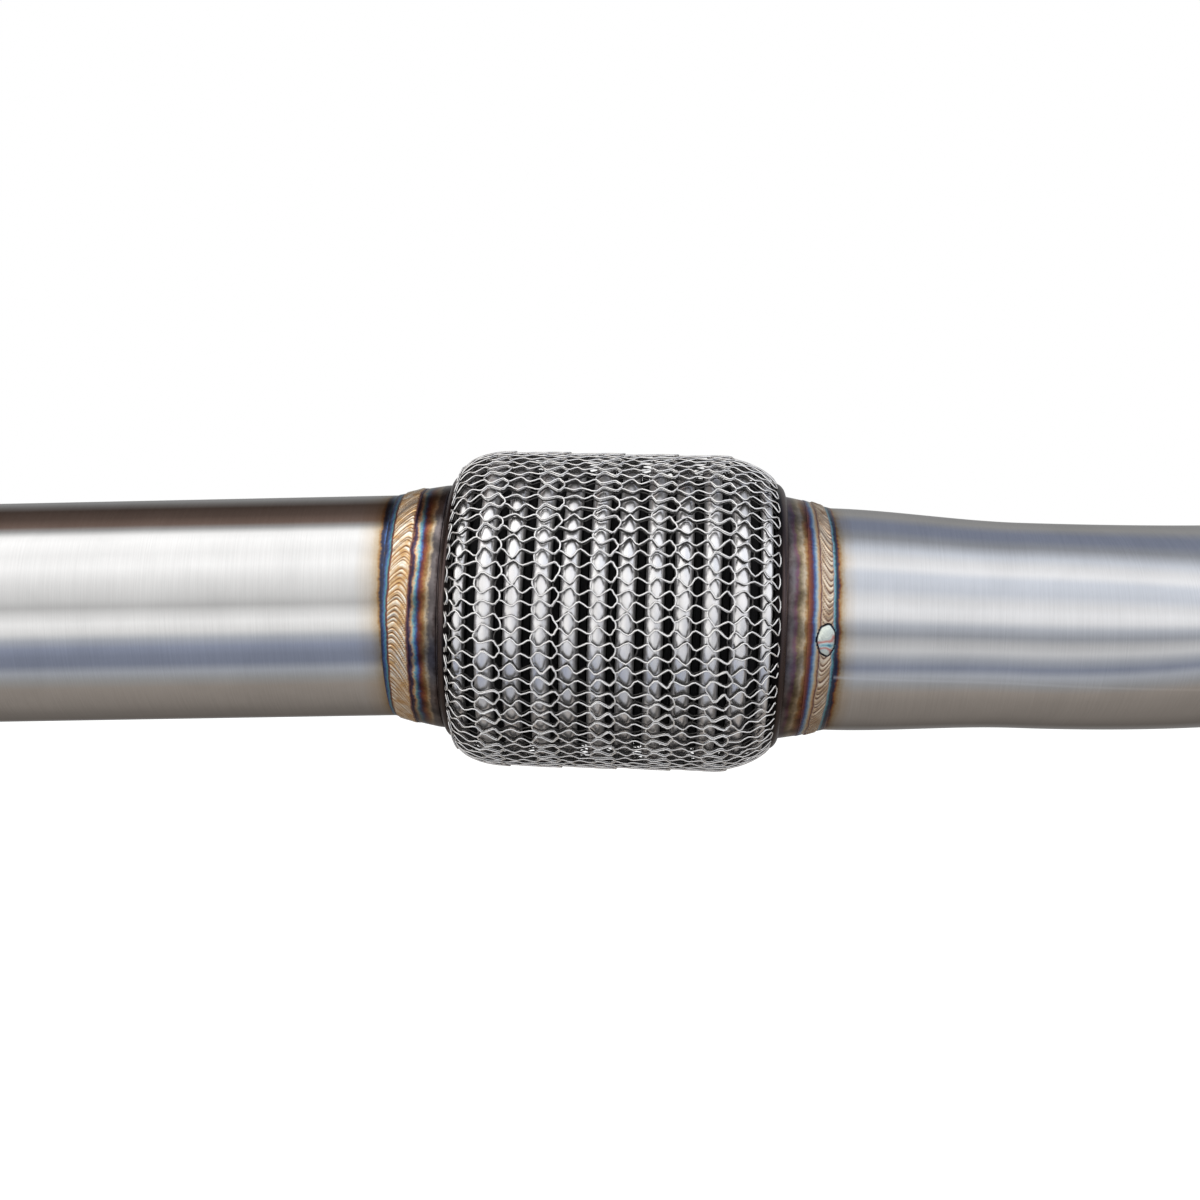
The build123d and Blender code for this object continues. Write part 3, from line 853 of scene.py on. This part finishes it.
def makeKnitLayer(name, shift, drop, wire, seed, material):
    # Plain jersey. Each course is one closed wire: up a leg, over a short head, down the next leg
    # and along a short sinker to the next wale. A leg is loopLength courses long.
    size = knit
    rng = np.random.default_rng(seed)
    course, leg = size["course"], size["loopLength"]
    inletEnd, outletEnd = (coverProfile(*k)[0][-1] / course for k in zip(size["straight"], size["bulge"]))
    offset = size["firstHead"] / course
    heads = np.arange(-6, 9) + shift
    heads = heads[(heads + offset > size["firstLoop"] - inletEnd)
                  & (heads + offset - leg < outletEnd - size["lastLoop"])]
    courses, wales = len(heads), size["wales"]
    # the leg's points, from head to sinker, at even steps of lean; then the whole wale's path
    counts = np.linspace(netPlace(np.array(shift)), netPlace(np.array(shift - leg)),
                         int(6 * leg * size["samplesPerWave"]) + 1)
    down = netLength(counts) - shift
    link = np.linspace(0, 1, size["linkSteps"] + 2)[1:-1]
    place = np.concatenate([down[::-1], 0 * link, down, 0 * link - leg])
    across = np.concatenate([0 * down, link, 0 * down + 1, link + 1])
    bulge = np.concatenate([0 * down, np.sin(np.pi * link), 0 * down, -np.sin(np.pi * link)])
    # a course whose heads would lie past the outlet edge is shortened, so that they turn at the edge
    sinkers = (heads - leg)[:, None, None]
    reach = np.minimum((outletEnd - size["edgeTurn"] - offset - sinkers) / leg, 1)
    depth = np.clip(-place / leg, 0, 1)
    place = sinkers + (place + leg) * reach + np.zeros((1, wales, 1))
    # between its two lines a link's point lies by its share of the way across
    lineStep = np.floor(np.minimum(across, 1.999)).astype(int)
    line = 2 * np.arange(wales)[None, :, None] + lineStep
    part = across - lineStep
    turn, drift = (value(line, place) * (1 - part) + value(line + 1, place) * part
                   for value in (lineTurn, lineDrift))
    rounded = 1 + size["edgeBulge"] * ((reach < 1) & (bulge > 0))
    along = (place + offset) * course + drift + size["linkBulge"] * bulge * rounded
    # stacked wires: a leg lies outermost at its head and innermost at its sinker
    lift = np.broadcast_to(size["stack"] * np.cos(np.pi * depth) - drop, place.shape)
    count = place.shape[1] * place.shape[2]
    knots = rng.normal(0, size["wireJitter"], (courses, count // size["swayEvery"]))
    at = np.linspace(0, knots.shape[1], count, endpoint=False)
    low = at.astype(int)
    sway = knots[:, low] * (1 - at + low) + knots[:, (low + 1) % knots.shape[1]] * (at - low)
    along, turn, lift = (k.reshape(courses, -1) for k in (along, turn, lift))
    points, normal = onCover(along, turn + sway / size["radius"], lift)
    # round wire: the ring at each point lies across the path, one axis along the cover's normal
    tangent = np.roll(points, -1, axis=1) - np.roll(points, 1, axis=1)
    tangent /= np.linalg.norm(tangent, axis=-1, keepdims=True)
    sideways = np.cross(tangent, normal)
    sideways /= np.linalg.norm(sideways, axis=-1, keepdims=True)
    outwards = np.cross(sideways, tangent)
    ring = np.arange(size["sides"]) * 2 * np.pi / size["sides"]
    tube = points[:, :, None] + wire * mm * (
        np.cos(ring)[:, None] * outwards[:, :, None] + np.sin(ring)[:, None] * sideways[:, :, None])
    quads = quadIndex(count, size["sides"])
    offsets = np.arange(courses)[:, None, None] * count * size["sides"]
    quads = (quads[None] + offsets).reshape(-1, 4)
    facing = np.broadcast_to(np.cos(ring), tube.shape[:-1])
    made = meshObject(name, tube, quads, material, facing=facing)
    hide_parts("knit_cover")
    print(name, "triangles", 2 * len(quads))
    return made


def wireSteel(name, colour):
    material, tree, surface = newMaterial(name, knit["metallic"])
    place = objectPlace(tree)
    patch, fine = noise(tree, place, 180.0, 3.0), noise(tree, place, 2500.0)
    bright = shaded(tree, colour, mapRange(tree, patch, 0.3, 0.7, 0.82, 1.08))
    # painted shade on the wire's flanks: its outer side is bright and its flanks are dark
    outside = mapRange(tree, readAttribute(tree, "facing"), -0.4, 0.3)
    rough = variedRoughness(tree, fine, knit["roughness"], knit["variation"])
    finishSurface(tree, surface, mixColour(tree, outside, knit["shadeColour"], bright), rough,
                  bumpNormal(tree, fine, 0.2, 0.02 * mm))
    return material


makeInletTube()
makeOutletTube()
print("tubes made")

capMaterial = capSteelLipShade()
sleeveMaterial = innerSteel()
for prefix, side, body in (("inlet", -1, inletBody), ("outlet", 1, outletBody)):
    makeCollar(prefix, side, body)
    makeEndCap(prefix, side, body, capMaterial)
    makeInnerSleeve(prefix, side, body, sleeveMaterial)
makeBead("inlet", -1, inletBody)
makeBead("outlet", 1, outletBody)
print("collars, caps, sleeves and welds made")

outerWire = wireSteel("outerWire", knit["colour"])
# the inner layer: the same wire steel, darkened as painted shade
innerWire = wireSteel("innerWire", knit["innerShadeColour"])
flexPieces = [
    makeBellows(),
    makeLiner(sleeveMaterial),
    makeKnitLayer("knitCoverOuter", 0.0, 0.0, knit["wire"], 21, outerWire),
    makeKnitLayer("knitCoverInner", knit["layerShift"], knit["innerDrop"], knit["innerWire"], 22, innerWire),
]
for piece in flexPieces:
    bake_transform(piece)
print("bellows, liner and knitted cover made")


# studio

studio = dict(
    floorHeight=-0.26, floorSize=8.0, floorColour=(0.8, 0.8, 0.8, 1.0), floorGlow=0.3,
    keySize=1.1, keyPower=10.0, keyPlace=(0.2, -0.9, 1.5))

# What the metal sees round the tube's axis: elevation in degrees from the viewer's level (over the
# top to the back, and below it), how bright it is there, and its tone. Large soft boxes in front,
# dark flags above and below. The two halves of the studio differ.
lightTones = dict(white=(1.0, 1.0, 1.0), pale=(0.96, 0.97, 1.0), cool=(0.85, 0.90, 1.0),
                  blue=(0.68, 0.76, 1.0), sand=(1.0, 0.89, 0.80), brown=(1.0, 0.70, 0.58))
leftBoxes = [
    (-180, 0.3, "white"), (-155, 0.14, "sand"), (-132, 0.2, "sand"), (-114, 0.28, "sand"),
    (-88, 0.36, "sand"), (-77, 0.38, "white"), (-67, 0.53, "cool"), (-57, 0.37, "blue"),
    (-48, 0.39, "blue"), (-39, 0.5, "blue"), (-30, 0.64, "cool"), (-22, 1.0, "white"),
    (-13, 1.2, "white"), (-4, 0.95, "white"), (4, 0.66, "white"), (12, 0.85, "white"),
    (29, 1.08, "white"), (46, 1.4, "white"), (60, 1.32, "white"), (76, 1.5, "white"),
    (84, 1.4, "white"), (92, 0.5, "white"), (99, 0.22, "brown"), (112, 0.12, "brown"),
    (130, 0.07, "brown"), (155, 0.28, "white"), (180, 0.3, "white")]
rightBoxes = [
    (-180, 0.3, "white"), (-143, 0.15, "sand"), (-122, 0.24, "sand"), (-93, 0.31, "sand"),
    (-81, 0.37, "sand"), (-70, 0.4, "pale"), (-59, 0.58, "cool"), (-50, 0.40, "blue"),
    (-40, 0.54, "cool"), (-31, 0.78, "pale"), (-22, 0.64, "pale"), (-14, 0.48, "cool"),
    (-5, 0.7, "cool"), (4, 1.08, "pale"), (12, 1.18, "pale"), (21, 1.05, "pale"),
    (34, 0.97, "cool"), (49, 1.08, "cool"), (58, 1.27, "pale"), (68, 1.1, "pale"),
    (79, 0.98, "cool"), (88, 0.65, "cool"), (96, 0.42, "cool"), (110, 0.38, "blue"),
    (122, 0.37, "blue"), (140, 0.36, "white"), (158, 0.3, "white"), (180, 0.3, "white")]
brightest = 1.5
halvesMeet = (-0.08, 0.1)


def makeWorld():
    # angle = atan2(z, -y), turned into 0 to 1. Mirrored rays see the boxes and all others plain white.
    world = bpy.data.worlds.new("studio")
    bpy.context.scene.world = world
    world.use_nodes = True
    tree = world.node_tree
    background = tree.nodes["Background"]
    parts = addNode(tree, "ShaderNodeSeparateXYZ",
                    {0: addNode(tree, "ShaderNodeTexCoord").outputs["Generated"]}).outputs
    angle = maths(tree, "ARCTAN2", parts[2], maths(tree, "MULTIPLY", parts[1], -1.0))
    place = maths(tree, "ADD", maths(tree, "DIVIDE", angle, 2 * np.pi), 0.5)

    def boxes(stops):
        return ramp(tree, place, [((elevation + 180) / 360,
                                   tuple(c * level / brightest for c in lightTones[tone]))
                                  for elevation, level, tone in stops])

    half = mapRange(tree, parts[0], *halvesMeet)
    seen = mixColour(tree, half, boxes(leftBoxes), boxes(rightBoxes))
    seen = addNode(tree, "ShaderNodeVectorMath", {0: seen, 3: brightest}, operation="SCALE").outputs[0]
    glossy = addNode(tree, "ShaderNodeLightPath").outputs["Is Glossy Ray"]
    tree.links.new(mixColour(tree, glossy, (1, 1, 1, 1), seen), background.inputs["Color"])
    background.inputs["Strength"].default_value = 1.0


def makeFloor():
    half = studio["floorSize"] / 2
    corners = np.array([(-half, -half), (half, -half), (half, half), (-half, half)])
    points = np.column_stack([corners, np.full(4, studio["floorHeight"])])
    mesh = bpy.data.meshes.new("floor")
    mesh.from_pydata(points, [], [(0, 1, 2, 3)])
    floor = addObject("floor", mesh)
    floor.visible_glossy = False
    material, tree, surface = newMaterial("floorPaper", 0.0)
    surface.inputs["Roughness"].default_value = 0.9
    surface.inputs["Specular IOR Level"].default_value = 0.0
    surface.inputs["Base Color"].default_value = studio["floorColour"]
    surface.inputs["Emission Color"].default_value = (1, 1, 1, 1)
    camera = addNode(tree, "ShaderNodeLightPath").outputs["Is Camera Ray"]
    tree.links.new(maths(tree, "MULTIPLY", camera, studio["floorGlow"]), surface.inputs["Emission Strength"])
    mesh.materials.append(material)


def placedMatrix(right, up, back, place):
    columns = np.stack([right, up, back, place], 1)
    return Matrix(np.vstack([columns, (0, 0, 0, 1)]).tolist())


def makeKeyLight():
    light = bpy.data.lights.new("softBox", "AREA")
    light.size = studio["keySize"]
    light.energy = studio["keyPower"]
    lamp = addObject("softBox", light)
    lamp.visible_glossy = False
    place = np.array(studio["keyPlace"])
    back = place - flexCentre
    back /= np.linalg.norm(back)
    right = np.cross(upZ, back)
    right /= np.linalg.norm(right)
    lamp.matrix_world = placedMatrix(right, np.cross(back, right), back, place)


# The photograph's frame: the flexible section's middle and the slope of the inlet tube in it
view = dict(distance=0.5, width=0.346, sensor=36.0, rollDegrees=1.09, imageSize=1200,
            middleX=611.0, middleY=611.7, yawDegrees=2.0)


def makeCamera():
    data = bpy.data.cameras.new("camera")
    data.sensor_width = view["sensor"]
    data.lens = view["sensor"] * view["distance"] / view["width"]
    data.clip_start = 0.01
    camera = addObject("camera", data)
    roll, yaw = np.radians(view["rollDegrees"]), np.radians(view["yawDegrees"])
    back = np.array([np.sin(yaw), -np.cos(yaw), 0.0])
    level = np.cross(upZ, back)
    right = np.cos(roll) * level - np.sin(roll) * upZ
    up = np.cross(back, right)
    pixel = view["width"] / view["imageSize"]
    half = view["imageSize"] / 2
    place = (flexCentre - right * (view["middleX"] - half) * pixel
             + up * (view["middleY"] - half) * pixel + back * view["distance"])
    camera.matrix_world = placedMatrix(right, up, back, place)
    bpy.context.scene.camera = camera


makeWorld()
makeFloor()
makeKeyLight()
makeCamera()
bpy.context.scene.view_settings.view_transform = "Standard"
print("studio made")
